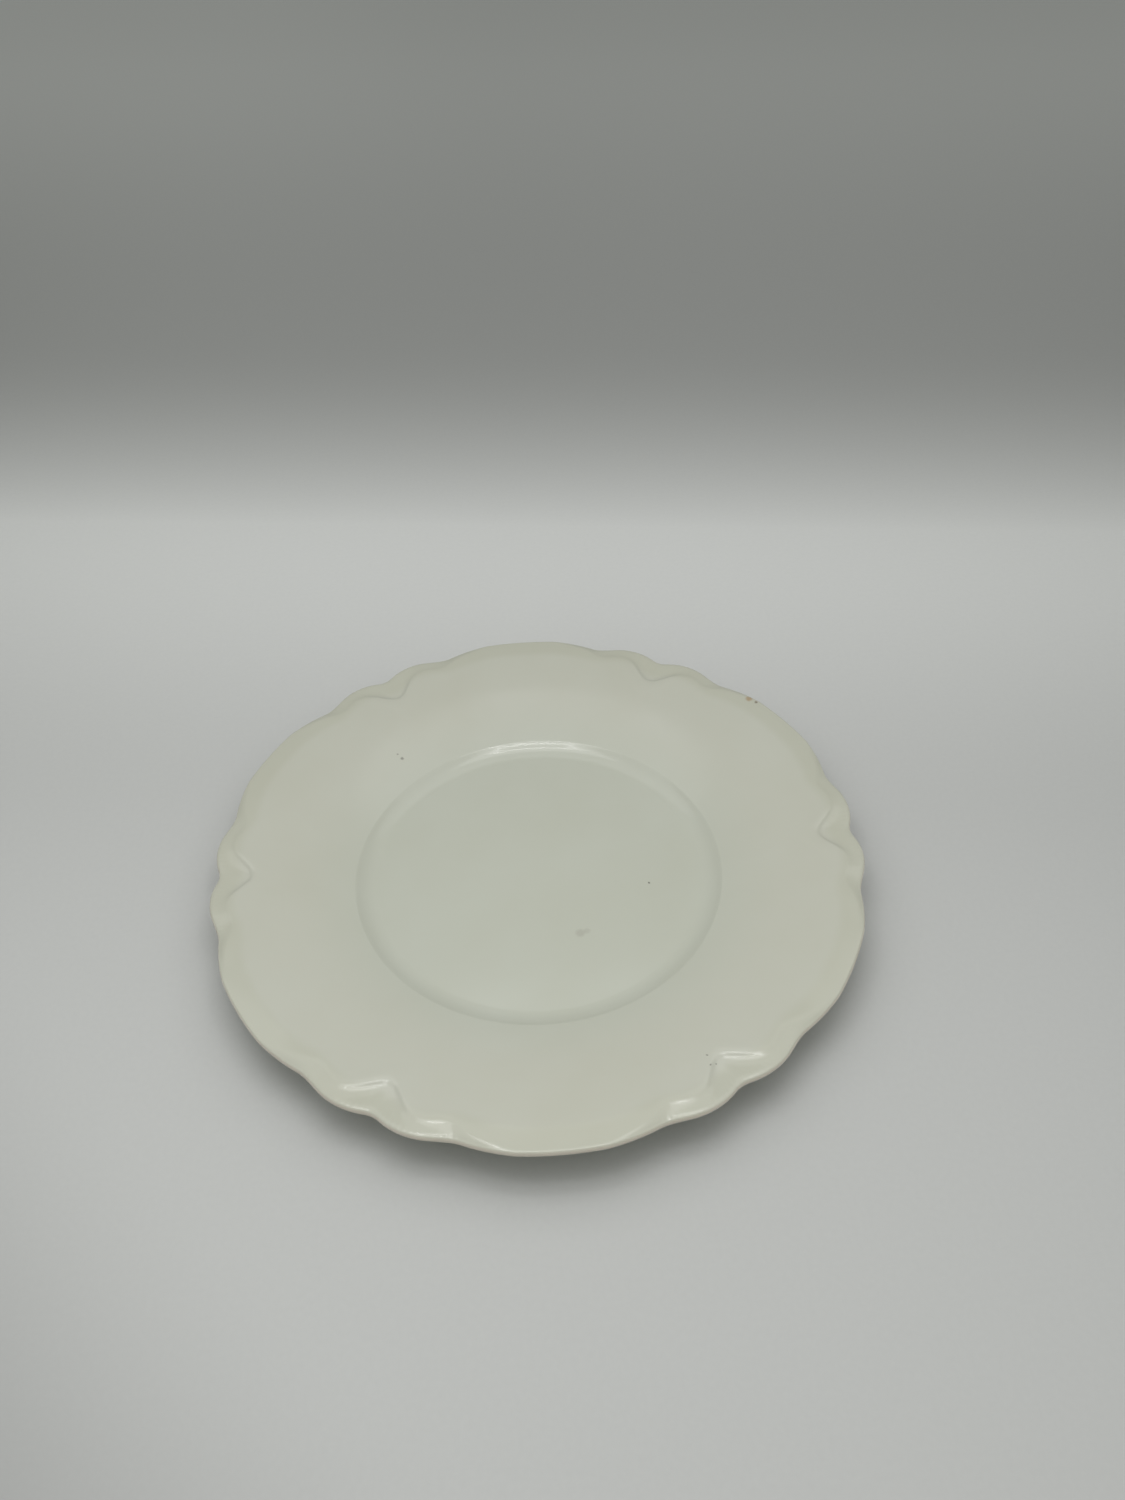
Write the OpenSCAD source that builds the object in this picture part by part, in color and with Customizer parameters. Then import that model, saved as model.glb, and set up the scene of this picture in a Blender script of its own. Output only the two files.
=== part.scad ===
// Scalloped dessert plate in glazed earthenware.
// The plate stands on its foot with +Z up, and the origin is the centre of the foot on the table.
// A cusp, the notch between two small lobes, lies on +X, and one ruffled group repeats round the edge.
// The real plate is one fired body. Its zones are separate solids that meet face to face.

/* [Plate] */
// Width across the long petals of the edge
plate_d = 192; // [170:1:240]
// Height of the edge above the table, at the long petals
plate_h = 18; // [16:0.5:26]
// Number of ruffled groups round the edge
groups = 6; // [5:1:7]

/* [Well] */
// Width of the flat well
well_d = 96.6; // [70:0.2:110]
// Thickness of the clay under the well
well_t = 4.2; // [3:0.1:6]

/* [Verge] */
// Width of the step from the well up to the rim, seen from above
verge_w = 6.4; // [4:0.1:8]
// Height of that step
verge_h = 2.6; // [2:0.1:4]

/* [Rim] */
// Thickness of the rim at the verge
rim_t = 4.6; // [3.5:0.1:6]
// Thickness of the rim at the edge
edge_t = 2; // [1.8:0.1:4]
// How far the rim levels out towards the edge, from a straight cone at 0 to quite level at 1
rim_curl_share = 0.45; // [0:0.05:1]

/* [Edge outline] */
// How far the small lobes stay inside the long petals
lobe_inset = 0.5; // [0:0.1:2]
// Radius of a small lobe
lobe_r = 19.4; // [14:0.2:24]
// Angle of a small lobe from the cusp, in degrees
lobe_angle = 6.6; // [5:0.1:8]
// Roundness of the cusp between the two small lobes
cusp_blend = 2.5; // [1:0.1:4]
// Radius of the ends of a long petal
petal_r = 56; // [45:1:70]
// How far a long petal would stand out if the rim's circle did not cut it
petal_reach = 0.5; // [0.2:0.1:1.5]
// Roundness of the notch between a small lobe and a long petal
notch_blend = 2.7; // [1:0.1:4]

/* [Ruffle] */
// Depth of the ruffle line in from the cusp
ruffle_depth = 10; // [7:0.25:12]
// Half angle of one ruffled group, in degrees
ruffle_angle = 18; // [15:0.5:20]
// Width of the rounded roll on the inner side of the ruffle line
roll_w = 5; // [3:0.2:6]
// How far the roll swells above the rim's face
roll_h = 0.35; // [0.1:0.05:1]
// Depth of the scooped band outside the ruffle line
scoop_depth = 0.75; // [0.4:0.05:1.5]
// How far the edge dips for each millimetre that the outline draws in
notch_dip_share = 0.5; // [0:0.1:0.8]
// Height of the fine ribs in the scooped band
rib_h = 0.06; // [0:0.02:0.3]

/* [Foot] */
// Height of the foot
foot_h = 2.7; // [2:0.1:5]
// Width of the foot at its root
foot_w = 4.2; // [3.5:0.1:6]
// How far each side of the foot draws in on its way down
foot_draft = 0.7; // [0.3:0.1:1]
// Height of the bare clay at the standing edge
bare_h = 0.4; // [0.2:0.1:0.8]

/* [Hidden] */
$fn = 96;

// Main radii and heights
plate_r = plate_d / 2;
well_r = well_d / 2;
well_top = foot_h + well_t;
rim_r = well_r + verge_w;
rim_z = well_top + verge_h;

// The foot stands under the verge: the well's edge lies over its inner part
foot_seat_share = 0.22;
foot_in_r = well_r - foot_w * foot_seat_share;
foot_out_r = foot_in_r + foot_w;

// Steps of the smooth profiles and columns of the border, all counts
verge_steps = 14;
rim_steps = 8;
corner_steps = 4;
ruffle_cols = 48;
petal_cols = 8;

// One group, from cusp to cusp, and the folded angle to the nearest cusp
sector = 360 / groups;
function fold(t) = abs(t - sector * round(t / sector));

// Smooth step from 0 to 1, and a blended maximum of two radii
function smooth(u) = let(v = min(max(u, 0), 1)) v * v * (3 - 2 * v);
function blend(a, b, k) = max(a, b) + pow(max(k - abs(a - b), 0), 2) / (4 * k);

// Radius at which a ray at angle t leaves a disc whose centre lies at angle at
function disc(t, at, reach, rad) =
    let(c = reach - rad, s = c * sin(t - at))
    c * cos(t - at) + sqrt(max(rad * rad - s * s, 0));

// Edge outline: two small lobes about the cusp, blended with a long petal cut by the rim's circle
lobe_reach = plate_r - lobe_inset;
function lobes_r(a) = blend(
    disc(a, lobe_angle, lobe_reach, lobe_r), disc(a, -lobe_angle, lobe_reach, lobe_r), cusp_blend);
function petal_edge_r(a) = min(disc(a, sector / 2, plate_r + petal_reach, petal_r), plate_r);
function edge_r(t) = let(a = fold(t)) blend(lobes_r(a), petal_edge_r(a), notch_blend);

// Ruffle line, in from the edge: shares of the half angle, and shares of the depth at the cusp
ruffle_shares = [
    [0, 1], [0.08, 0.99], [0.17, 0.86], [0.25, 0.68], [0.33, 0.54], [0.45, 0.465],
    [0.56, 0.47], [0.67, 0.48], [0.75, 0.38], [0.86, 0.26], [1, 0.27], [1.25, 0.36], [1.6, 0.4]
];
ease_angle = 0.7;
function inset_at(t) = ruffle_depth * lookup(fold(t) / ruffle_angle, ruffle_shares);
function line_r(t) = edge_r(t)
    - (inset_at(t - ease_angle) + 2 * inset_at(t) + inset_at(t + ease_angle)) / 4;

// How fully the scooped band is formed: whole under the lobes, none along the long petals
scoop_start_share = 0.7;
scoop_end_share = 1.05;
function scoop_share(t) =
    1 - smooth((fold(t) / ruffle_angle - scoop_start_share) / (scoop_end_share - scoop_start_share));

// Face and back of the rim as heights over the radius: the face rises more steeply at the verge
face_rise = plate_h - rim_z;
function out_share(r) = (r - rim_r) / (plate_r - rim_r);
function face_z(r) = let(u = out_share(r)) rim_z + face_rise * (u + rim_curl_share * (u - u * u));
function back_z(r) = face_z(r) - rim_t + (rim_t - edge_t) * out_share(r);
function face_slope(r) =
    face_rise * (1 + rim_curl_share * (1 - 2 * out_share(r))) / (plate_r - rim_r);

// The border starts a plain land inside the roll at the bottom of the cusp's bay
border_land = 3.4;
border_r = edge_r(0) - ruffle_depth - roll_w - border_land;

// The verge is ever steeper from the level well, then turns quickly to the slope at which the rim starts
verge_turn = 13;
verge_steep = (verge_h / verge_w - face_slope(rim_r) / verge_turn) / (1 / 2 - 1 / (verge_turn + 1));
function verge_z(u) = well_top + verge_w * (
    verge_steep * (u * u / 2 - pow(u, verge_turn + 1) / (verge_turn + 1))
    + face_slope(rim_r) * pow(u, verge_turn) / verge_turn);

// The edge dips where the outline draws in
function edge_z(edge) = plate_h - notch_dip_share * (plate_r - edge);

// The roll swells above the face and levels out towards the ruffle line, less so along the petals
roll_level_share = 0.7;
petal_relief_share = 0.35;
function relief_share(t) = petal_relief_share + (1 - petal_relief_share) * scoop_share(t);
function roll_z(t, r, line) = let(u = min(max((r - line) / roll_w + 1, 0), 1))
    face_z(r) + relief_share(t) * (roll_h * smooth(u)
        - roll_level_share * face_slope(line) * roll_w * u * u / 2);

// The step below the ruffle line: how far it has gone down at distance x outside the line
crest_soft = 1.1;
step_w = 1.1;
function ramp(x) = abs(x) < crest_soft ? pow(x + crest_soft, 2) / (4 * crest_soft) : max(x, 0);
function step_share(x) = 1 - exp(-ramp(x) / step_w);

// The band outside the line runs from the crest to the lip and is scooped where it is wide
nose_r = edge_t / 2;
function band_z(t, out, crest_z, edge) = let(scoop = scoop_share(t))
    crest_z + (edge_z(edge) - crest_z) * (out * (1 - scoop) + smooth(out) * scoop);
function relief_z(t, r, edge, line) = let(
    depth = scoop_depth * scoop_share(t) * sqrt((edge - line) / ruffle_depth),
    out = max(r - line, 0) / (edge - nose_r - line),
    base = r > line ? band_z(t, out, roll_z(t, line, line), edge) : roll_z(t, r, line)
) base - depth * step_share(r - line) * (1 - smooth(out));

// Shares at which the rings of the relief and of the nose lie
roll_ring_shares = [0.67, 0.34, 0.1];
step_end_share = 2.3;
band_mid_share = 0.5;
nose_share = 0.3;

// Section of the border at angle t as radius and height, from the inner wall's top round to its foot.
// rib is 1 on a rib, -1 in a groove and 0 along the petals.
function border_section(t, rib, inner_r) = let(
    edge = edge_r(t),
    line = line_r(t),
    lip = edge - nose_r,
    step_end = line + min(step_end_share * step_w, (lip - line) / 2),
    band_mid = step_end + (lip - step_end) * band_mid_share,
    top = relief_z(t, lip, edge, line),
    under = back_z(lip),
    rib_z = rib * rib_h * scoop_share(t) / 2,
    mid_r = (border_r + edge) / 2
) [
    [inner_r, face_z(border_r)],
    [line - roll_w, face_z(line - roll_w)],
    for (share = roll_ring_shares) let(r = line - roll_w * share) [r, relief_z(t, r, edge, line)],
    [line, relief_z(t, line, edge, line)],
    [line + step_w / 2, relief_z(t, line + step_w / 2, edge, line)],
    [step_end, relief_z(t, step_end, edge, line) + rib_z],
    [band_mid, relief_z(t, band_mid, edge, line) + rib_z],
    [lip, top + rib_z / 2],
    [edge - nose_r * nose_share, top - nose_r * nose_share],
    [edge, (top + under) / 2],
    [edge - nose_r * nose_share, under + nose_r * nose_share],
    [lip, under],
    [mid_r, back_z(mid_r)],
    [inner_r, back_z(border_r)]
];

// Columns of the border as angle and rib: close together in the ruffles, wide along the petals
petal_step = (sector - 2 * ruffle_angle) / petal_cols;
ruffle_step = 2 * ruffle_angle / ruffle_cols;
columns = [for (g = [0 : groups - 1]) each concat(
    [for (i = [0 : ruffle_cols - 1])
        [g * sector - ruffle_angle + i * ruffle_step, i % 2 == 0 ? 1 : -1]],
    [for (i = [0 : petal_cols - 1]) [g * sector + ruffle_angle + i * petal_step, 0]]
)];

// The inner wall's chords touch the rim's outer wall from outside, so that the solids stay apart
wall_r = border_r / cos(max(petal_step, ruffle_step) / 2);

// Points of a rounded corner about a centre, from one angle to another
function corner(x, z, r, from, to) =
    [for (i = [0 : corner_steps]) let(a = from + (to - from) * i / corner_steps)
        [x + r * cos(a), z + r * sin(a)]];

// Flat middle of the plate, level above and below
module well() {
    color("ivory") translate([0, 0, foot_h]) cylinder(r = well_r, h = well_t);
}

// Step round the well, hollow at its foot and round at its top
module verge() {
    color("floralwhite") rotate_extrude() polygon(concat(
        [for (i = [0 : verge_steps]) let(u = i / verge_steps) [well_r + verge_w * u, verge_z(u)]],
        [[rim_r, back_z(rim_r)], [foot_out_r, foot_h], [well_r, foot_h]]
    ));
}

// Plain sloping flange between the verge and the border
module rim() {
    color("ivory") rotate_extrude() polygon(concat(
        [for (i = [0 : rim_steps]) let(r = rim_r + (border_r - rim_r) * i / rim_steps) [r, face_z(r)]],
        [for (i = [rim_steps : -1 : 0]) let(r = rim_r + (border_r - rim_r) * i / rim_steps) [r, back_z(r)]]
    ));
}

// Ruffled border: petals and lobes in outline, and in relief the roll, the ruffle line and the ribs
module scalloped_border() {
    sections = [for (c = columns) border_section(c[0], c[1], wall_r)];
    n = len(columns);
    m = len(sections[0]);
    points = [for (i = [0 : n - 1]) for (p = sections[i])
        [p[0] * cos(columns[i][0]), p[0] * sin(columns[i][0]), p[1]]];
    faces = [for (i = [0 : n - 1]) for (j = [0 : m - 1]) let(
        a = i * m + j,
        b = i * m + (j + 1) % m,
        c = (i + 1) % n * m + (j + 1) % m,
        d = (i + 1) % n * m + j
    ) each i % 2 == 0 ? [[a, d, c], [a, c, b]] : [[a, d, b], [d, c, b]]];
    color("floralwhite") polyhedron(points, faces, convexity = 6);
}

// Foot under the verge, drawn in a little on its way down
module foot_ring() {
    color("ivory") rotate_extrude() polygon([
        [foot_in_r, foot_h],
        [foot_in_r + foot_draft, bare_h],
        [foot_out_r - foot_draft, bare_h],
        [foot_out_r, foot_h]
    ]);
}

// Bare ground clay that the plate stands on, rounded where it leaves the table
module standing_edge() {
    color("burlywood") rotate_extrude() polygon(concat(
        corner(foot_in_r + foot_draft + bare_h, bare_h, bare_h, 180, 270),
        corner(foot_out_r - foot_draft - bare_h, bare_h, bare_h, 270, 360)
    ));
}

well();
verge();
rim();
scalloped_border();
foot_ring();
standing_edge();
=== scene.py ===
"""Scalloped dessert plate: one glazed earthenware body on a pale sheet, lit from the box above it."""
import math

import bmesh
import bpy
from mathutils import Matrix, Vector


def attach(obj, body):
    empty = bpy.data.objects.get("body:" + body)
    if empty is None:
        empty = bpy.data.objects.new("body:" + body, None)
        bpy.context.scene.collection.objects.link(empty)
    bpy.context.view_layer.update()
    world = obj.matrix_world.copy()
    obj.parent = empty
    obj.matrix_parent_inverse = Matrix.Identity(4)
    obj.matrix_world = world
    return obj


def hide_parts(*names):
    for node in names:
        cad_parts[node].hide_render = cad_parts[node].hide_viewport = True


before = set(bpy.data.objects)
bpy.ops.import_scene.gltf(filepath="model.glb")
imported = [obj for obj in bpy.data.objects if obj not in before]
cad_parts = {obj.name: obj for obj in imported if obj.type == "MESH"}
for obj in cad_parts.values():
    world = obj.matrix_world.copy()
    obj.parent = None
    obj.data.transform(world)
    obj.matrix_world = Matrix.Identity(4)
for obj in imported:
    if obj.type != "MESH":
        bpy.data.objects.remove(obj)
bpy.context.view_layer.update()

# Lengths are in millimetres until a vertex or a light is made, and angles are in degrees
MM = 0.001

# Plate
PLATE_R = 96.0
PLATE_H = 18.0
GROUPS = 6
SECTOR = 360 / GROUPS

# Well, verge and rim
WELL_R = 48.3
WELL_T = 4.2
VERGE_W = 6.4
VERGE_H = 2.6
# How late the verge turns over at its top, as a power
VERGE_TURN = 20
# Wall at the verge and at the edge, and how much steeper than a straight one the rim's face starts out
RIM_T = 4.6
EDGE_T = 2.0
RIM_CURL_SHARE = 0.72

# Edge outline: discs of the small lobes and of the long petals, and how widely they are blended
LOBE_INSET = 0.5
LOBE_R = 19.4
LOBE_ANGLE = 6.6
CUSP_BLEND = 2.5
PETAL_R = 56.0
PETAL_REACH = 0.5
NOTCH_BLEND = 2.7

# Ruffle line: its depth in from the edge at the cusp, the half angle of a group of lobes, and the ease at
# its corners
RUFFLE_DEPTH = 10.0
RUFFLE_ANGLE = 18.0
EASE_ANGLE = 0.9
# Roll inside the ruffle line: its size, and how much of the rim's slope it takes away at the line
ROLL_W = 7.0
ROLL_H = 0.45
ROLL_LEVEL_SHARE = 1.15
BORDER_LAND = 1.4
# Bend of the long petals, where the rim turns more level: slope lost, place in from the edge, softness
PETAL_BEND = 0.065
PETAL_BEND_INSET = 6.8
PETAL_BEND_SOFT = 0.9
# Step down outside the ruffle line: how round its crest is, its width, where its rings end, its depth, how
# fast the depth fades where the line nears the edge, and its share along the petals
CREST_SOFT = 0.5
STEP_W = 1.2
STEP_END_TIMES = 2.5
SCOOP_DEPTH = 0.78
SCOOP_FADE = 1.0
PETAL_SCOOP_SHARE = 0.45
# Where the scooped band ends, as shares of the group's half angle, and how late it rises to the lip, as a
# power
SCOOP_START_SHARE = 0.6
SCOOP_END_SHARE = 1.25
BAND_HOLLOW = 1.6
# Low ridge that runs out to each cusp through the scoop
CUSP_RIDGE_SHARE = 0.35
CUSP_RIDGE_ANGLE = 1.4
# Lip: how far it lies below the plate's full height, everywhere, at the lobes and for each millimetre that
# the outline draws in, then its fall over its last stretch and the width of its rounded nose
LIP_DROP = 0.35
LOBE_DROP = 0.12
NOTCH_DIP_SHARE = 0.32
LIP_ROLL_W = 1.0
LIP_ROLL_H = 0.13
NOSE_W = 0.6
# Fine radial ribs on the scooped band: height, spacing in degrees, where they start, how uneven they are
RIB_H = 0.08
RIB_PITCH = 1.0
RIB_START_SHARE = 0.45
RIB_UNEVEN_SHARE = 0.3
RIB_UNEVEN_TIMES = 7
# Width over which the painted shade of the band round the edge sets in
PAINTED_SHADE_FADE = 3.5

# Ruffle line, in from the edge: shares of the half angle, and shares of the depth at the cusp
RUFFLE_SHARES = [
    (0, 1), (0.08, 0.99), (0.17, 0.86), (0.25, 0.68), (0.33, 0.54), (0.45, 0.465),
    (0.56, 0.48), (0.67, 0.49), (0.75, 0.39), (0.86, 0.27), (1, 0.2), (1.2, 0.15), (1.7, 0.14),
]

# Foot: how much of its width lies inside the well's edge, and the height of its bare ground part
FOOT_H = 2.7
FOOT_W = 4.2
FOOT_DRAFT = 0.7
FOOT_SEAT_SHARE = 0.22
BARE_H = 0.4

# Places worked out from the sizes
WELL_TOP = FOOT_H + WELL_T
RIM_R = WELL_R + VERGE_W
RIM_Z = WELL_TOP + VERGE_H
FOOT_IN_R = WELL_R - FOOT_W * FOOT_SEAT_SHARE
FOOT_OUT_R = FOOT_IN_R + FOOT_W
FACE_RISE = PLATE_H - RIM_Z
FACE_SLOPE = FACE_RISE * (1 + RIM_CURL_SHARE) / (PLATE_R - RIM_R)

# Meshes: columns round the plate and rings across each zone
BORDER_COLUMNS = 1440
ROUND_COLUMNS = 360
VERGE_RINGS = 28
RIM_RINGS = 24
LAND_RINGS = 6
ROLL_RINGS = 14
STEP_RINGS = 8
BAND_RINGS = 12
NOSE_RINGS = 10
BACK_RINGS = 6
CORNER_RINGS = 6
# The border's own attribute that carries where the glaze takes its painted shade round the edge
PAINTED_SHADE_BAND_NAME = "band"
# A narrow ring at the end of a zone gives two neighbours the same normals where they meet
SEAM_W = 0.02
SHARP_ANGLE = 50


def shares(count):
    """Even shares from 1/count up to 1."""
    return [(i + 1) / count for i in range(count)]


def smooth(u):
    """Smooth step from 0 to 1."""
    v = min(max(u, 0), 1)
    return v * v * (3 - 2 * v)


def ramp(x, soft):
    """Nothing below zero and x above it, with a parabola across the corner."""
    if abs(x) < soft:
        return (x + soft) ** 2 / (4 * soft)
    return max(x, 0)


def fold(angle):
    """Angle to the nearest cusp."""
    return abs(angle - SECTOR * round(angle / SECTOR))


def blend(a, b, width):
    """The larger of two radii, rounded where they are close."""
    return max(a, b) + max(width - abs(a - b), 0) ** 2 / (4 * width)


def disc(angle, at, reach, radius):
    """Radius at which a ray leaves a disc whose centre lies at angle at."""
    centre = reach - radius
    turn = math.radians(angle - at)
    side = centre * math.sin(turn)
    return centre * math.cos(turn) + math.sqrt(max(radius ** 2 - side ** 2, 0))


def edge_r(angle):
    """Outline: two small lobes about the cusp, blended with a long petal that the plate's circle cuts."""
    a = fold(angle)
    reach = PLATE_R - LOBE_INSET
    lobes = blend(disc(a, LOBE_ANGLE, reach, LOBE_R), disc(a, -LOBE_ANGLE, reach, LOBE_R), CUSP_BLEND)
    petal = min(disc(a, SECTOR / 2, PLATE_R + PETAL_REACH, PETAL_R), PLATE_R)
    return blend(lobes, petal, NOTCH_BLEND)


def inset_at(angle):
    """Distance of the ruffle line in from the edge, before it is eased."""
    share = fold(angle) / RUFFLE_ANGLE
    for (a, low), (b, high) in zip(RUFFLE_SHARES, RUFFLE_SHARES[1:]):
        if share <= b:
            return RUFFLE_DEPTH * (low + (high - low) * (share - a) / (b - a))
    return RUFFLE_DEPTH * RUFFLE_SHARES[-1][1]


def line_r(angle):
    """Radius of the ruffle line."""
    before = inset_at(angle - EASE_ANGLE)
    after = inset_at(angle + EASE_ANGLE)
    return edge_r(angle) - (before + 2 * inset_at(angle) + after) / 4


def scoop_share(angle):
    """How fully the scooped band is formed: whole under the lobes, none along the long petals."""
    past = fold(angle) / RUFFLE_ANGLE - SCOOP_START_SHARE
    return 1 - smooth(past / (SCOOP_END_SHARE - SCOOP_START_SHARE))


def out_share(r):
    """Share of the way from the verge to the plate's edge."""
    return (r - RIM_R) / (PLATE_R - RIM_R)


def face_z(r):
    """Height of the rim's face, steep at the verge and flatter towards the edge."""
    u = out_share(r)
    return RIM_Z + FACE_RISE * (u + RIM_CURL_SHARE * (u - u * u))


def back_z(r):
    """Height of the rim's back."""
    return face_z(r) - RIM_T + (RIM_T - EDGE_T) * out_share(r)


def verge_z(u):
    """Height of the verge: ever steeper from the level well, then a quick turn to the rim's slope."""
    turn = VERGE_TURN + 1
    steep = (VERGE_H / VERGE_W - FACE_SLOPE / turn) / (1 / 2 - 1 / (turn + 1))
    hollow = steep * (u * u / 2 - u ** (turn + 1) / (turn + 1))
    return WELL_TOP + VERGE_W * (hollow + FACE_SLOPE * u ** turn / turn)


BORDER_R = edge_r(0) - RUFFLE_DEPTH - ROLL_W - BORDER_LAND


def edge_z(angle, edge):
    """Height of the lip: just below the plate's full height, and lowest where the outline draws in."""
    return PLATE_H - LIP_DROP - NOTCH_DIP_SHARE * (PLATE_R - edge) - LOBE_DROP * scoop_share(angle)


def face_lean(r):
    """Slope of the rim's face."""
    return FACE_RISE * (1 + RIM_CURL_SHARE * (1 - 2 * out_share(r))) / (PLATE_R - RIM_R)


def roll_z(angle, r, line):
    """Height of the face: in the groups it swells and levels out towards the ruffle line, and along the
    long petals it bends more level on a line of its own."""
    scoop = scoop_share(angle)
    u = min(max((r - line) / ROLL_W + 1, 0), 1)
    roll = ROLL_H * smooth(u) - ROLL_LEVEL_SHARE * face_lean(line) * ROLL_W * u * u / 2
    bend = PETAL_BEND * ramp(r - edge_r(angle) + PETAL_BEND_INSET, PETAL_BEND_SOFT)
    return face_z(r) + scoop * roll - (1 - scoop) * bend


def relief_z(angle, r, edge, line):
    """Height of the border's face: roll, ruffle line, scooped band with its ribs, and the lip's fall."""
    scoop = scoop_share(angle)
    cut = PETAL_SCOOP_SHARE + (1 - PETAL_SCOOP_SHARE) * scoop
    depth = SCOOP_DEPTH * cut * ((edge - line) / RUFFLE_DEPTH) ** SCOOP_FADE
    if r <= line:
        return roll_z(angle, r, line) - depth * step_share(r - line)
    crest = roll_z(angle, line, line)
    out = (r - line) / (edge - NOSE_W - line)
    rise = out * (1 - scoop) + smooth(out ** BAND_HOLLOW) * scoop
    ridge = CUSP_RIDGE_SHARE * math.exp(-(fold(angle) / CUSP_RIDGE_ANGLE) ** 2)
    bowl = step_share(r - line) * (1 - rise) * (1 - ridge * smooth(2 * out))
    uneven = 1 - RIB_UNEVEN_SHARE * (1 + math.cos(math.tau * RIB_UNEVEN_TIMES * angle / SECTOR))
    rib = uneven * math.cos(math.tau * angle / RIB_PITCH)
    rib *= smooth((out - RIB_START_SHARE) / (1 - RIB_START_SHARE))
    over = LIP_ROLL_H * max((r - edge + NOSE_W) / LIP_ROLL_W + 1, 0) ** 2
    return crest + (edge_z(angle, edge) - crest) * rise - depth * bowl + RIB_H / 2 * scoop * rib - over


def step_share(x):
    """How far the step below the ruffle line has gone down at a distance outside the line."""
    return 1 - math.exp(-ramp(x, CREST_SOFT) / STEP_W)


def painted_shade_share(angle, r):
    """One on the band round the edge, where the glaze is darkened as painted shade, and nothing inside it."""
    return smooth((r - edge_r(angle) + PETAL_BEND_INSET) / PAINTED_SHADE_FADE + 0.5)


def border_section(angle):
    """Points of the border in section, from the inner wall's top over the face and round to its foot."""
    edge = edge_r(angle)
    line = line_r(angle)
    crease = line - ROLL_W
    lip = edge - NOSE_W
    step_end = line + min(STEP_END_TIMES * STEP_W, (lip - line) / 2)
    radii = [BORDER_R, BORDER_R + SEAM_W]
    radii += [BORDER_R + (crease - BORDER_R) * u for u in shares(LAND_RINGS)]
    radii += [crease + (line - crease) * u for u in shares(ROLL_RINGS)]
    radii += [line + (step_end - line) * u for u in shares(STEP_RINGS)]
    radii += [step_end + (lip - step_end) * u for u in shares(BAND_RINGS)]
    points = [(r, relief_z(angle, r, edge, line)) for r in radii]
    top = points[-1][1]
    sunk = top - face_z(lip)
    under = back_z(lip) + sunk
    for u in shares(NOSE_RINGS):
        turn = math.pi * (0.5 - u)
        middle = (top + under) / 2
        points.append((lip + NOSE_W * math.cos(turn), middle + (top - under) / 2 * math.sin(turn)))
    for u in shares(BACK_RINGS):
        r = lip + (BORDER_R + SEAM_W - lip) * u
        points.append((r, back_z(r) + sunk * smooth(1 - u)))
    return points + [(BORDER_R, back_z(BORDER_R))]


def finish_mesh(mesh, name, material, slot, *nodes):
    """Turns a bmesh into a named piece that stands for its CAD nodes."""
    bmesh.ops.remove_doubles(mesh, verts=mesh.verts, dist=SEAM_W * MM / 10)
    bmesh.ops.recalc_face_normals(mesh, faces=mesh.faces)
    for face in mesh.faces:
        face.smooth = True
    data = bpy.data.meshes.new(name)
    mesh.to_mesh(data)
    mesh.free()
    data.set_sharp_from_angle(angle=math.radians(SHARP_ANGLE))
    data.materials.append(material)
    piece = bpy.data.objects.new(name, data)
    bpy.context.scene.collection.objects.link(piece)
    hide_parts(*nodes)
    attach(piece, "root")
    return piece


def spin_profile(points, columns, closed=True, shape=None):
    """A bmesh spun round the plate's axis from radius and height points, one sector and then its copies.

    shape gives the points of each column's own angle, where the section changes on its way round."""
    mesh = bmesh.new()
    ring = mesh.verts.layers.int.new("ring")
    profile = [mesh.verts.new((r * MM, 0, z * MM)) for r, z in points]
    for i, vert in enumerate(profile):
        vert[ring] = i
    ends = zip(profile, profile[1:] + profile[:1]) if closed else zip(profile, profile[1:])
    edges = [mesh.edges.new(pair) for pair in ends]
    sector = math.radians(SECTOR)
    steps = columns // GROUPS
    axis = {"axis": (0, 0, 1), "cent": (0, 0, 0)}
    bmesh.ops.spin(mesh, geom=profile + edges, angle=sector, steps=steps, **axis)
    if shape:
        step = sector / steps
        sections = [shape(math.degrees(step * i)) for i in range(steps + 1)]
        for vert in mesh.verts:
            column = round(math.atan2(vert.co.y, vert.co.x) / step)
            r, z = sections[column][vert[ring]]
            vert.co = Vector((r * math.cos(step * column), r * math.sin(step * column), z)) * MM
    geometry = mesh.verts[:] + mesh.edges[:] + mesh.faces[:]
    bmesh.ops.spin(
        mesh, geom=geometry, angle=sector * (GROUPS - 1), steps=GROUPS - 1, use_duplicate=True, **axis)
    return mesh


def make_well(material):
    """Flat middle of the plate, level above and below."""
    near = WELL_R - SEAM_W
    points = [
        (0, FOOT_H), (near, FOOT_H), (WELL_R, FOOT_H),
        (WELL_R, WELL_TOP), (near, WELL_TOP), (0, WELL_TOP),
    ]
    mesh = spin_profile(points, ROUND_COLUMNS, closed=False)
    return finish_mesh(mesh, "glazed_well", material, "ivory_glaze", "well")


def make_verge(material):
    """Step round the well, hollow at its foot and round at its top."""
    seam = SEAM_W / VERGE_W
    steps = [0, seam] + shares(VERGE_RINGS)[:-1] + [1 - seam, 1]
    points = [(WELL_R + VERGE_W * u, verge_z(u)) for u in steps]
    points += [(RIM_R, back_z(RIM_R)), (FOOT_OUT_R, FOOT_H), (WELL_R, FOOT_H)]
    mesh = spin_profile(points, ROUND_COLUMNS)
    return finish_mesh(mesh, "glazed_verge", material, "ivory_glaze", "verge")


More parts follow.
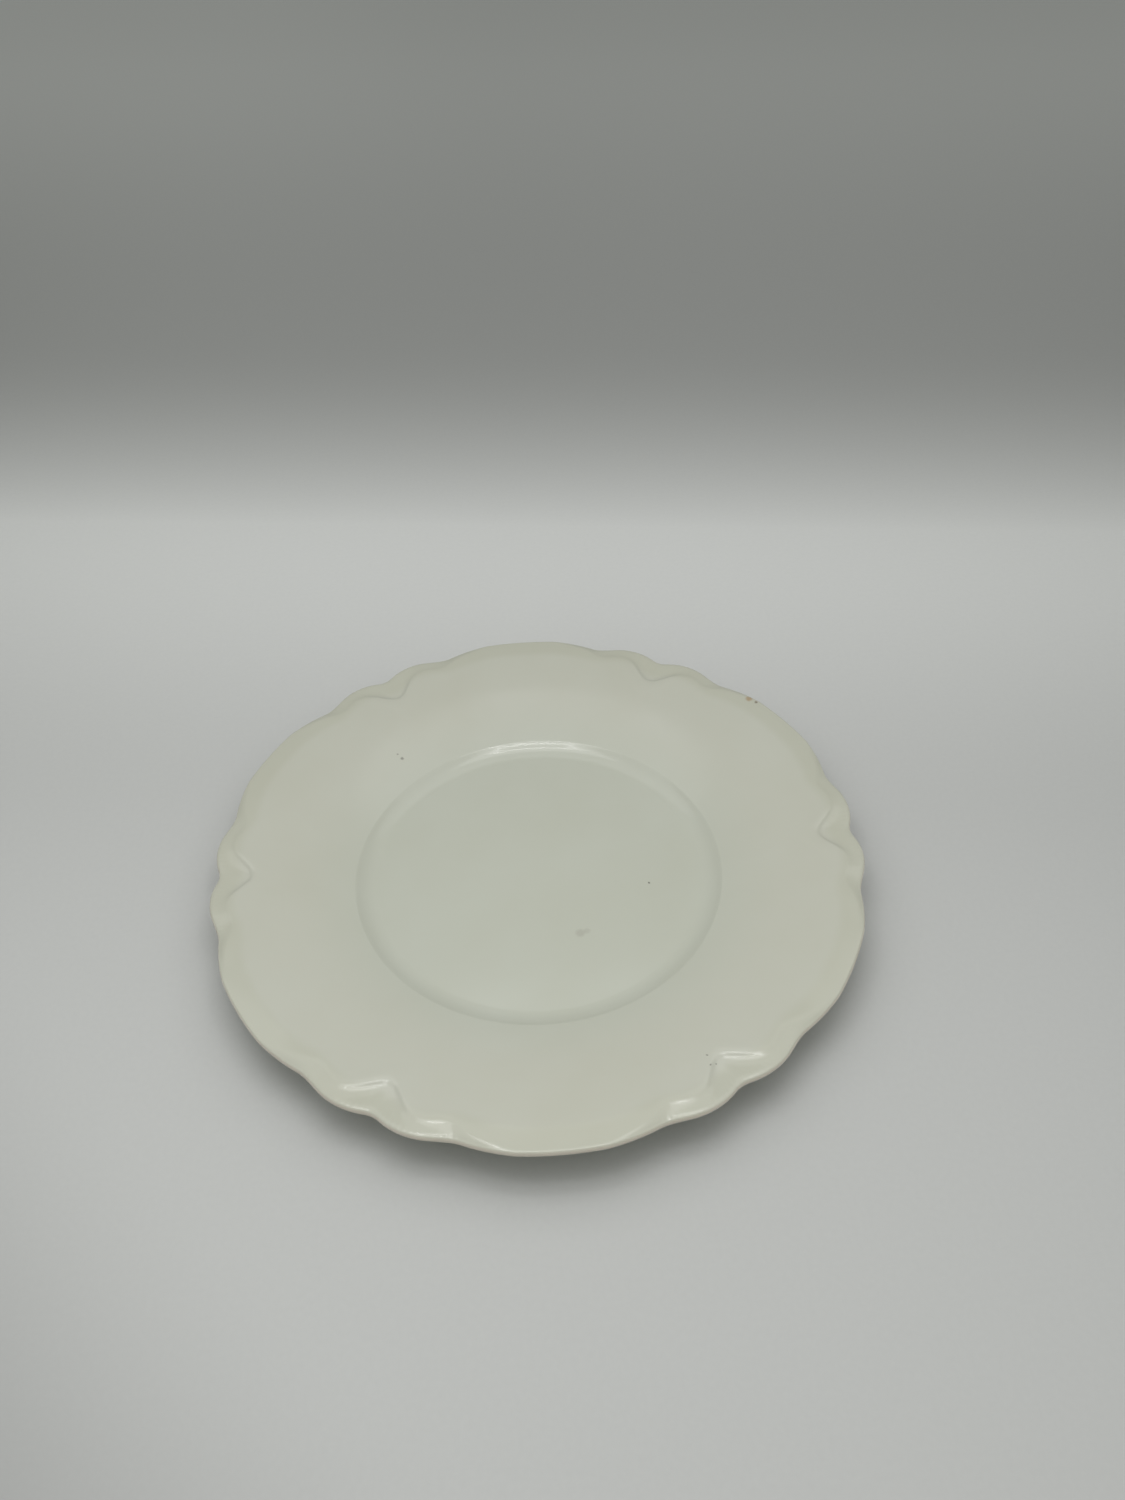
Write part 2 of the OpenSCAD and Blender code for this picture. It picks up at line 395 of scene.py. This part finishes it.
def make_rim(material):
    """Plain sloping flange between the verge and the border."""
    seam = SEAM_W / (BORDER_R - RIM_R)
    steps = [0, seam] + shares(RIM_RINGS)[:-1] + [1 - seam, 1]
    radii = [RIM_R + (BORDER_R - RIM_R) * u for u in steps]
    points = [(r, face_z(r)) for r in radii] + [(r, back_z(r)) for r in reversed(radii)]
    mesh = spin_profile(points, ROUND_COLUMNS)
    return finish_mesh(mesh, "glazed_rim", material, "ivory_glaze", "rim")


def make_border(material):
    """Scalloped edge: spun from one section, then each column takes the section of its own angle."""
    mesh = spin_profile(border_section(0), BORDER_COLUMNS, shape=border_section)
    # Share of the painted shade on the band round the edge, kept on the mesh for the glaze
    band = mesh.verts.layers.float.new(PAINTED_SHADE_BAND_NAME)
    for vert in mesh.verts:
        across, back = vert.co.xy / MM
        vert[band] = painted_shade_share(math.degrees(math.atan2(back, across)), math.hypot(across, back))
    return finish_mesh(mesh, "ruffled_border", material, "ivory_glaze", "scalloped_border")


def make_foot(material):
    """Foot under the verge, drawn in a little on its way down."""
    points = [
        (FOOT_IN_R, FOOT_H), (FOOT_IN_R + FOOT_DRAFT, BARE_H),
        (FOOT_OUT_R - FOOT_DRAFT, BARE_H), (FOOT_OUT_R, FOOT_H),
    ]
    mesh = spin_profile(points, ROUND_COLUMNS)
    return finish_mesh(mesh, "glazed_foot", material, "ivory_glaze", "foot_ring")


def make_standing_edge(material):
    """Bare ground clay under the foot, rounded where it leaves the table."""
    inner = FOOT_IN_R + FOOT_DRAFT + BARE_H
    outer = FOOT_OUT_R - FOOT_DRAFT - BARE_H
    points = []
    for centre, start in ((inner, 180), (outer, 270)):
        for u in [0] + shares(CORNER_RINGS):
            turn = math.radians(start + 90 * u)
            points.append((centre + BARE_H * math.cos(turn), BARE_H + BARE_H * math.sin(turn)))
    mesh = spin_profile(points, ROUND_COLUMNS)
    return finish_mesh(mesh, "ground_standing_edge", material, "bare_clay", "standing_edge")


def linear(code):
    """An sRGB hex colour as linear red, green, blue and alpha."""
    parts = [int(code[i:i + 2], 16) / 255 for i in (1, 3, 5)]
    return [c / 12.92 if c <= 0.04045 else ((c + 0.055) / 1.055) ** 2.4 for c in parts] + [1]


def add(tree, kind, links=None, **settings):
    """Adds a shader node. links gives its inputs a value or another node's output."""
    node = tree.nodes.new("ShaderNode" + kind)
    for name, value in settings.items():
        setattr(node, name, value)
    for name, value in (links or {}).items():
        if isinstance(value, bpy.types.NodeSocket):
            tree.links.new(value, node.inputs[name])
        else:
            node.inputs[name].default_value = value
    return node


def new_material(name):
    """An empty node material and its tree."""
    material = bpy.data.materials.new(name)
    material.use_nodes = True
    material.node_tree.nodes.clear()
    return material, material.node_tree


# Glaze colours: where it lies thickest in the well, on the rim, a painted shade over the band round the edge,
# where it runs thin over the edge, also lighter there as painted light, and its clouds
GLAZE_WELL = "#cdd0c4"
GLAZE_RIM = "#cfd0c4"
GLAZE_BAND_PAINTED_SHADE = "#fafaf7"
GLAZE_THIN_AND_PAINTED_LIGHT = "#dfd7c8"
GLAZE_CLOUD = "#f7f6f2"
CLOUD_SIZE = 26.0
THIN_FROM = 0.9
THIN_FULL = 0.3
THIN_R = (89.0, 92.0)
CLOUD_SPREAD = (0.35, 0.65)
GLAZE_ROUGHNESS = (0.1, 0.16)
GLAZE_IOR = 1.5
# Unevenness of the fired glaze: sizes across and heights, in millimetres
WAVE_SIZE = 15.0
WAVE_H = 0.02
PEEL_SIZE = 2.2
PEEL_H = 0.002
# Marks on the glaze, as their place seen from above to the half millimetre, radius, tone and its strength:
# iron specks, worn smudges, and a brown stain where the lip has been knocked
GLAZE_MARKS = [
    ((39, -72), 0.4, "#4a443b", 0.5),
    ((39.5, -75), 0.4, "#4a443b", 0.5),
    ((41, -74.5), 0.35, "#4a443b", 0.5),
    ((32.5, -6.5), 0.45, "#4a463f", 0.8),
    ((-41, 48), 0.75, "#6a665c", 0.6),
    ((-42.5, 49.5), 0.5, "#6a665c", 0.5),
    ((10.5, -23), 1.9, "#a39f93", 0.35),
    ((12.5, -22.5), 1.4, "#a39f93", 0.25),
    ((73.5, 59), 1.6, "#a98350", 0.6),
    ((75.5, 57), 0.8, "#6b5a45", 0.7),
]
MARK_RAGGED = 0.35
MARK_CORE_SHARE = 1 / 3
# Marks show on faces that look up, fully from this share of straight up
MARK_FACE_UP = 0.2


def ivory_glaze():
    """Ivory glaze fired over moulded earthenware: a clear glossy skin on a cream body, faintly clouded, with
    a painted shade over the band round the edge, warmer where it runs thin over the edge and lighter there as
    painted light, and slightly uneven, so that reflections waver."""
    material, tree = new_material("ivory_glazed_earthenware")
    object_space = add(tree, "TexCoord").outputs
    place = object_space["Object"]
    flat = add(tree, "Mapping", {"Vector": place, "Scale": (1, 1, 0)}).outputs["Vector"]
    radius = add(tree, "VectorMath", {0: flat}, operation="LENGTH").outputs["Value"]
    level = add(tree, "SeparateXYZ", {"Vector": object_space["Normal"]}).outputs["Z"]
    steep = add(tree, "Math", {0: level}, operation="ABSOLUTE").outputs[0]

    outward = add(tree, "MapRange", {
        "Value": radius, "From Min": WELL_R * MM, "From Max": BORDER_R * MM,
    }, interpolation_type="SMOOTHSTEP").outputs[0]
    body = add(tree, "Mix", {0: outward, 6: linear(GLAZE_WELL), 7: linear(GLAZE_RIM)},
               data_type="RGBA").outputs[2]
    cloud = add(tree, "TexNoise", {"Vector": place, "Scale": 1 / (CLOUD_SIZE * MM), "Detail": 3.0})
    body = add(tree, "Mix", {0: cloud.outputs["Fac"], 6: body, 7: linear(GLAZE_CLOUD)},
               data_type="RGBA", blend_type="MULTIPLY").outputs[2]
    # Painted shade: the band round the edge is darkened a little
    painted_shade_on_band = add(tree, "Attribute", attribute_name=PAINTED_SHADE_BAND_NAME).outputs["Fac"]
    body = add(tree, "Mix", {0: painted_shade_on_band, 6: body, 7: linear(GLAZE_BAND_PAINTED_SHADE)},
               data_type="RGBA", blend_type="MULTIPLY").outputs[2]
    # Thin glaze on the edge's faces that turn from straight up: warmer, and lighter there as painted light
    turned = add(tree, "MapRange", {
        "Value": steep, "From Min": THIN_FROM, "From Max": THIN_FULL}).outputs[0]
    at_edge = add(tree, "MapRange", {
        "Value": radius, "From Min": THIN_R[0] * MM, "From Max": THIN_R[1] * MM}).outputs[0]
    thin = add(tree, "Math", {0: turned, 1: at_edge}, operation="MULTIPLY").outputs[0]
    body = add(tree, "Mix", {0: thin, 6: body, 7: linear(GLAZE_THIN_AND_PAINTED_LIGHT)}, data_type="RGBA").outputs[2]

    grain = add(tree, "TexNoise", {"Vector": place, "Scale": 1 / MM, "Detail": 2.0}).outputs["Color"]
    ragged = add(tree, "Mix", {0: MARK_RAGGED * MM, 6: flat, 7: grain},
                 data_type="RGBA", blend_type="LINEAR_LIGHT").outputs[2]
    marked = body
    for (x, y), size, tone, strength in GLAZE_MARKS:
        away = add(tree, "VectorMath", {0: ragged, 1: Vector((x, y, 0)) * MM}, operation="DISTANCE")
        shown = add(tree, "MapRange", {
            "Value": away.outputs["Value"], "To Max": strength,
            "From Min": size * MM, "From Max": size * MM * MARK_CORE_SHARE,
        }, interpolation_type="SMOOTHSTEP").outputs[0]
        marked = add(tree, "Mix", {0: shown, 6: marked, 7: linear(tone)}, data_type="RGBA").outputs[2]
    upward = add(tree, "MapRange", {"Value": level, "From Min": 0.0, "From Max": MARK_FACE_UP}).outputs[0]
    body = add(tree, "Mix", {0: upward, 6: body, 7: marked}, data_type="RGBA").outputs[2]

    wave = add(tree, "TexNoise", {"Vector": place, "Scale": 1 / (WAVE_SIZE * MM), "Detail": 1.0})
    peel = add(tree, "TexNoise", {"Vector": place, "Scale": 1 / (PEEL_SIZE * MM), "Detail": 1.0})
    waved = add(tree, "Bump", {"Height": wave.outputs["Fac"], "Distance": WAVE_H * MM})
    skin = add(tree, "Bump", {
        "Height": peel.outputs["Fac"], "Distance": PEEL_H * MM, "Normal": waved.outputs["Normal"]})
    gloss = add(tree, "MapRange", {
        "Value": cloud.outputs["Fac"], "From Min": CLOUD_SPREAD[0], "From Max": CLOUD_SPREAD[1],
        "To Min": GLAZE_ROUGHNESS[0], "To Max": GLAZE_ROUGHNESS[1]})
    shader = add(tree, "BsdfPrincipled", {
        "Base Color": body, "Roughness": gloss.outputs[0], "IOR": GLAZE_IOR,
        "Normal": skin.outputs["Normal"],
    })
    add(tree, "OutputMaterial", {"Surface": shader.outputs[0]})
    return material


# Bare clay: its two tones, the grey that tables leave on it, and its grit, drawn coarser than real grains
CLAY_PALE = "#d9ccb6"
CLAY_DEEP = "#c6b69c"
CLAY_SOILED = "#a1947f"
GRIT_SIZE = 0.35
GRIT_H = 0.04
SOIL_SIZE = 9.0
SOIL_SPREAD = (0.45, 0.7)
SOIL_STRENGTH = 0.6
CLAY_ROUGHNESS = (0.95, 0.75)


def bare_clay():
    """Unglazed earthenware, ground flat: matt, buff and gritty, greyed where it has rubbed on tables."""
    material, tree = new_material("bare_ground_earthenware")
    place = add(tree, "TexCoord").outputs["Object"]
    grit = add(tree, "TexNoise", {"Vector": place, "Scale": 1 / (GRIT_SIZE * MM), "Detail": 3.0})
    body = add(tree, "Mix", {0: grit.outputs["Fac"], 6: linear(CLAY_DEEP), 7: linear(CLAY_PALE)},
               data_type="RGBA").outputs[2]
    soil = add(tree, "TexNoise", {"Vector": place, "Scale": 1 / (SOIL_SIZE * MM), "Detail": 4.0})
    rubbed = add(tree, "MapRange", {
        "Value": soil.outputs["Fac"], "From Min": SOIL_SPREAD[0], "From Max": SOIL_SPREAD[1],
        "To Max": SOIL_STRENGTH,
    }).outputs[0]
    body = add(tree, "Mix", {0: rubbed, 6: body, 7: linear(CLAY_SOILED)}, data_type="RGBA").outputs[2]
    matt = add(tree, "MapRange", {
        "Value": soil.outputs["Fac"], "To Min": CLAY_ROUGHNESS[0], "To Max": CLAY_ROUGHNESS[1],
    }).outputs[0]
    rough = add(tree, "Bump", {"Height": grit.outputs["Fac"], "Distance": GRIT_H * MM})
    shader = add(tree, "BsdfPrincipled", {
        "Base Color": body, "Roughness": matt, "Normal": rough.outputs["Normal"]})
    add(tree, "OutputMaterial", {"Surface": shader.outputs[0]})
    return material


# Backdrop: how the sheet's run back is turned, in degrees, and its three tones. It turns pale behind the
# plate as painted light, then falls to grey as painted shade, quickly at first, and is pale again far off
# as painted light, where less light falls
SHEET_TURN = 7.4
SHEET_TONE = "#d3d4d2"
SHEET_PAINTED_LIGHT = "#f3f4f2"
SHEET_PAINTED_SHADE = "#bebfbd"
# Where each change starts and is full, in millimetres along that run
PALE_RUN = (30.0, 190.0)
GREY_RUN = (190.0, 350.0)
GREY_POWER = 2.0
FAR_RUN = (280.0, 800.0)
# Shades over those tones, as the turn of their direction, where they start, where they are full, and their
# tone: the right of the sheet and its near left corner lie further from the light
SHEET_SHADES = [
    (90.0, -210.0, 40.0, "#f7f7f7"),
    (-131.0, 125.0, 235.0, "#dcdcdc"),
]
# The sheet's fibres, drawn coarser than real ones
FIBRE_SIZE = 1.6
FIBRE_H = 0.03
FIBRE_TONE = "#fafafa"
SHEET_ROUGHNESS = 0.8
FLOOR_HALF = 1600.0


def run_along(tree, place, turn):
    """Distance in metres along a level direction, turned from the way the sheet runs back."""
    turned = add(tree, "Mapping", {"Vector": place, "Rotation": (0, 0, math.radians(turn))})
    return add(tree, "SeparateXYZ", {"Vector": turned.outputs["Vector"]}).outputs["Y"]


def change_along(tree, along, start, full):
    """Smooth share from 0 to 1 between two distances, given in millimetres."""
    return add(tree, "MapRange", {
        "Value": along, "From Min": start * MM, "From Max": full * MM,
    }, interpolation_type="SMOOTHSTEP").outputs[0]


def backdrop_sheet():
    """Matt white backdrop sheet with a faint tooth of fibres, its tone painted with light and shade: pale
    round the plate, grey far behind it, and shaded at its right and near left corner.
    """
    material, tree = new_material("matt_sheet_with_painted_light")
    place = add(tree, "TexCoord").outputs["Object"]
    along = run_along(tree, place, SHEET_TURN)
    # Painted light: pale behind the plate
    risen = change_along(tree, along, *PALE_RUN)
    body = add(tree, "Mix", {0: risen, 6: linear(SHEET_TONE), 7: linear(SHEET_PAINTED_LIGHT)},
               data_type="RGBA").outputs[2]
    # Painted shade: grey far behind the plate, where the sheet turns up out of the light
    unshaded = add(tree, "MapRange", {
        "Value": along, "From Min": GREY_RUN[1] * MM, "From Max": GREY_RUN[0] * MM}).outputs[0]
    lit = add(tree, "Math", {0: unshaded, 1: GREY_POWER}, operation="POWER").outputs[0]
    body = add(tree, "Mix", {0: lit, 6: linear(SHEET_PAINTED_SHADE), 7: body}, data_type="RGBA").outputs[2]
    # Painted light: pale again far off, where less light falls
    far = change_along(tree, along, *FAR_RUN)
    body = add(tree, "Mix", {0: far, 6: body, 7: linear(SHEET_PAINTED_LIGHT)}, data_type="RGBA").outputs[2]
    for turn, start, full, tone in SHEET_SHADES:
        shade = change_along(tree, run_along(tree, place, turn), start, full)
        body = add(tree, "Mix", {0: shade, 6: body, 7: linear(tone)},
                   data_type="RGBA", blend_type="MULTIPLY").outputs[2]
    fibre = add(tree, "TexNoise", {"Vector": place, "Scale": 1 / (FIBRE_SIZE * MM), "Detail": 3.0})
    body = add(tree, "Mix", {0: fibre.outputs["Fac"], 6: body, 7: linear(FIBRE_TONE)},
               data_type="RGBA", blend_type="MULTIPLY").outputs[2]
    tooth = add(tree, "Bump", {"Height": fibre.outputs["Fac"], "Distance": FIBRE_H * MM})
    shader = add(tree, "BsdfPrincipled", {
        "Base Color": body, "Roughness": SHEET_ROUGHNESS, "Normal": tooth.outputs["Normal"]})
    add(tree, "OutputMaterial", {"Surface": shader.outputs[0]})
    return material


def make_floor(material):
    """Level sheet that the plate stands on, a hair below it so that the two faces stay apart."""
    mesh = bmesh.new()
    bmesh.ops.create_grid(mesh, x_segments=1, y_segments=1, size=FLOOR_HALF * MM)
    bmesh.ops.translate(mesh, verts=mesh.verts, vec=(0, 0, -SEAM_W * MM))
    data = bpy.data.meshes.new("sheet")
    mesh.to_mesh(data)
    mesh.free()
    data.materials.append(material)
    floor = bpy.data.objects.new("sheet", data)
    bpy.context.scene.collection.objects.link(floor)


# Lights: the box's lit ceiling, which ends behind the plate, a wide softly lit panel below it, and thin
# tubes in a rectangle below that. Radiance is against white, and the walls are grey
CEILING_Z = 420.0
CEILING_X = (-380.0, 380.0)
CEILING_Y = (-420.0, 252.0)
CEILING_RADIANCE = 0.66
PANEL_Z = 410.0
PANEL_Y = (-205.0, 35.0)
PANEL_X = (-150.0, 130.0)
PANEL_RADIANCE = 1.55
FRAME_Z = 400.0
FRAME_Y = (-132.0, -45.0)
FRAME_X = (-93.0, 73.0)
TUBE_W = 8.0
TUBE_RADIANCE = 11.0
WALL_TONE = "#8a8c89"


def make_panel(name, left, right, near, far, height, radiance):
    """A flat rectangular light that faces down."""
    light = bpy.data.lights.new(name, "AREA")
    light.shape = "RECTANGLE"
    light.size = (right - left) * MM
    light.size_y = (far - near) * MM
    light.energy = radiance * math.pi * light.size * light.size_y
    panel = bpy.data.objects.new(name, light)
    panel.location = Vector(((left + right) / 2, (near + far) / 2, height)) * MM
    bpy.context.scene.collection.objects.link(panel)


def make_lights():
    """Four thin tubes in a rectangle, with the lit panel and the ceiling above them."""
    left, right = FRAME_X
    near, far = FRAME_Y
    half = TUBE_W / 2
    for name, at in (("tube_near", near), ("tube_far", far)):
        make_panel(name, left - half, right + half, at - half, at + half, FRAME_Z, TUBE_RADIANCE)
    for name, at in (("tube_left", left), ("tube_right", right)):
        make_panel(name, at - half, at + half, near + half, far - half, FRAME_Z, TUBE_RADIANCE)
    make_panel("lit_panel", *PANEL_X, *PANEL_Y, PANEL_Z, PANEL_RADIANCE)
    make_panel("lit_ceiling", *CEILING_X, *CEILING_Y, CEILING_Z, CEILING_RADIANCE)


def make_world():
    """The grey walls of the box round the plate."""
    world = bpy.data.worlds.new("light_box")
    world.use_nodes = True
    tree = world.node_tree
    tree.nodes.clear()
    light = add(tree, "Background", {"Color": linear(WALL_TONE), "Strength": 1.0})
    add(tree, "OutputWorld", {"Surface": light.outputs[0]})
    bpy.context.scene.world = world


# Camera, from a fit to the plate's outline in the photograph: place, turns in degrees, and lens
CAMERA_AT = (-4.0, -245.7, 302.9)
CAMERA_DOWN = 44.8
CAMERA_YAW = 2.9
CAMERA_ROLL = -2.06
CAMERA_LENS = 30.58
CAMERA_SENSOR = 36.0
CAMERA_CLIP = 10.0


def make_camera():
    """Hand-held camera over the near edge of the sheet."""
    data = bpy.data.cameras.new("camera")
    data.lens = CAMERA_LENS
    data.sensor_width = CAMERA_SENSOR
    data.clip_start = CAMERA_CLIP * MM
    camera = bpy.data.objects.new("camera", data)
    camera.matrix_world = (
        Matrix.Translation(Vector(CAMERA_AT) * MM)
        @ Matrix.Rotation(math.radians(-CAMERA_YAW), 4, "Z")
        @ Matrix.Rotation(math.radians(90 - CAMERA_DOWN), 4, "X")
        @ Matrix.Rotation(math.radians(CAMERA_ROLL), 4, "Z")
    )
    bpy.context.scene.collection.objects.link(camera)
    bpy.context.scene.camera = camera


glaze = ivory_glaze()
clay = bare_clay()
make_well(glaze)
make_verge(glaze)
make_rim(glaze)
make_border(glaze)
make_foot(glaze)
make_standing_edge(clay)
make_floor(backdrop_sheet())
make_lights()
make_world()
make_camera()
bpy.context.scene.view_settings.view_transform = "Standard"
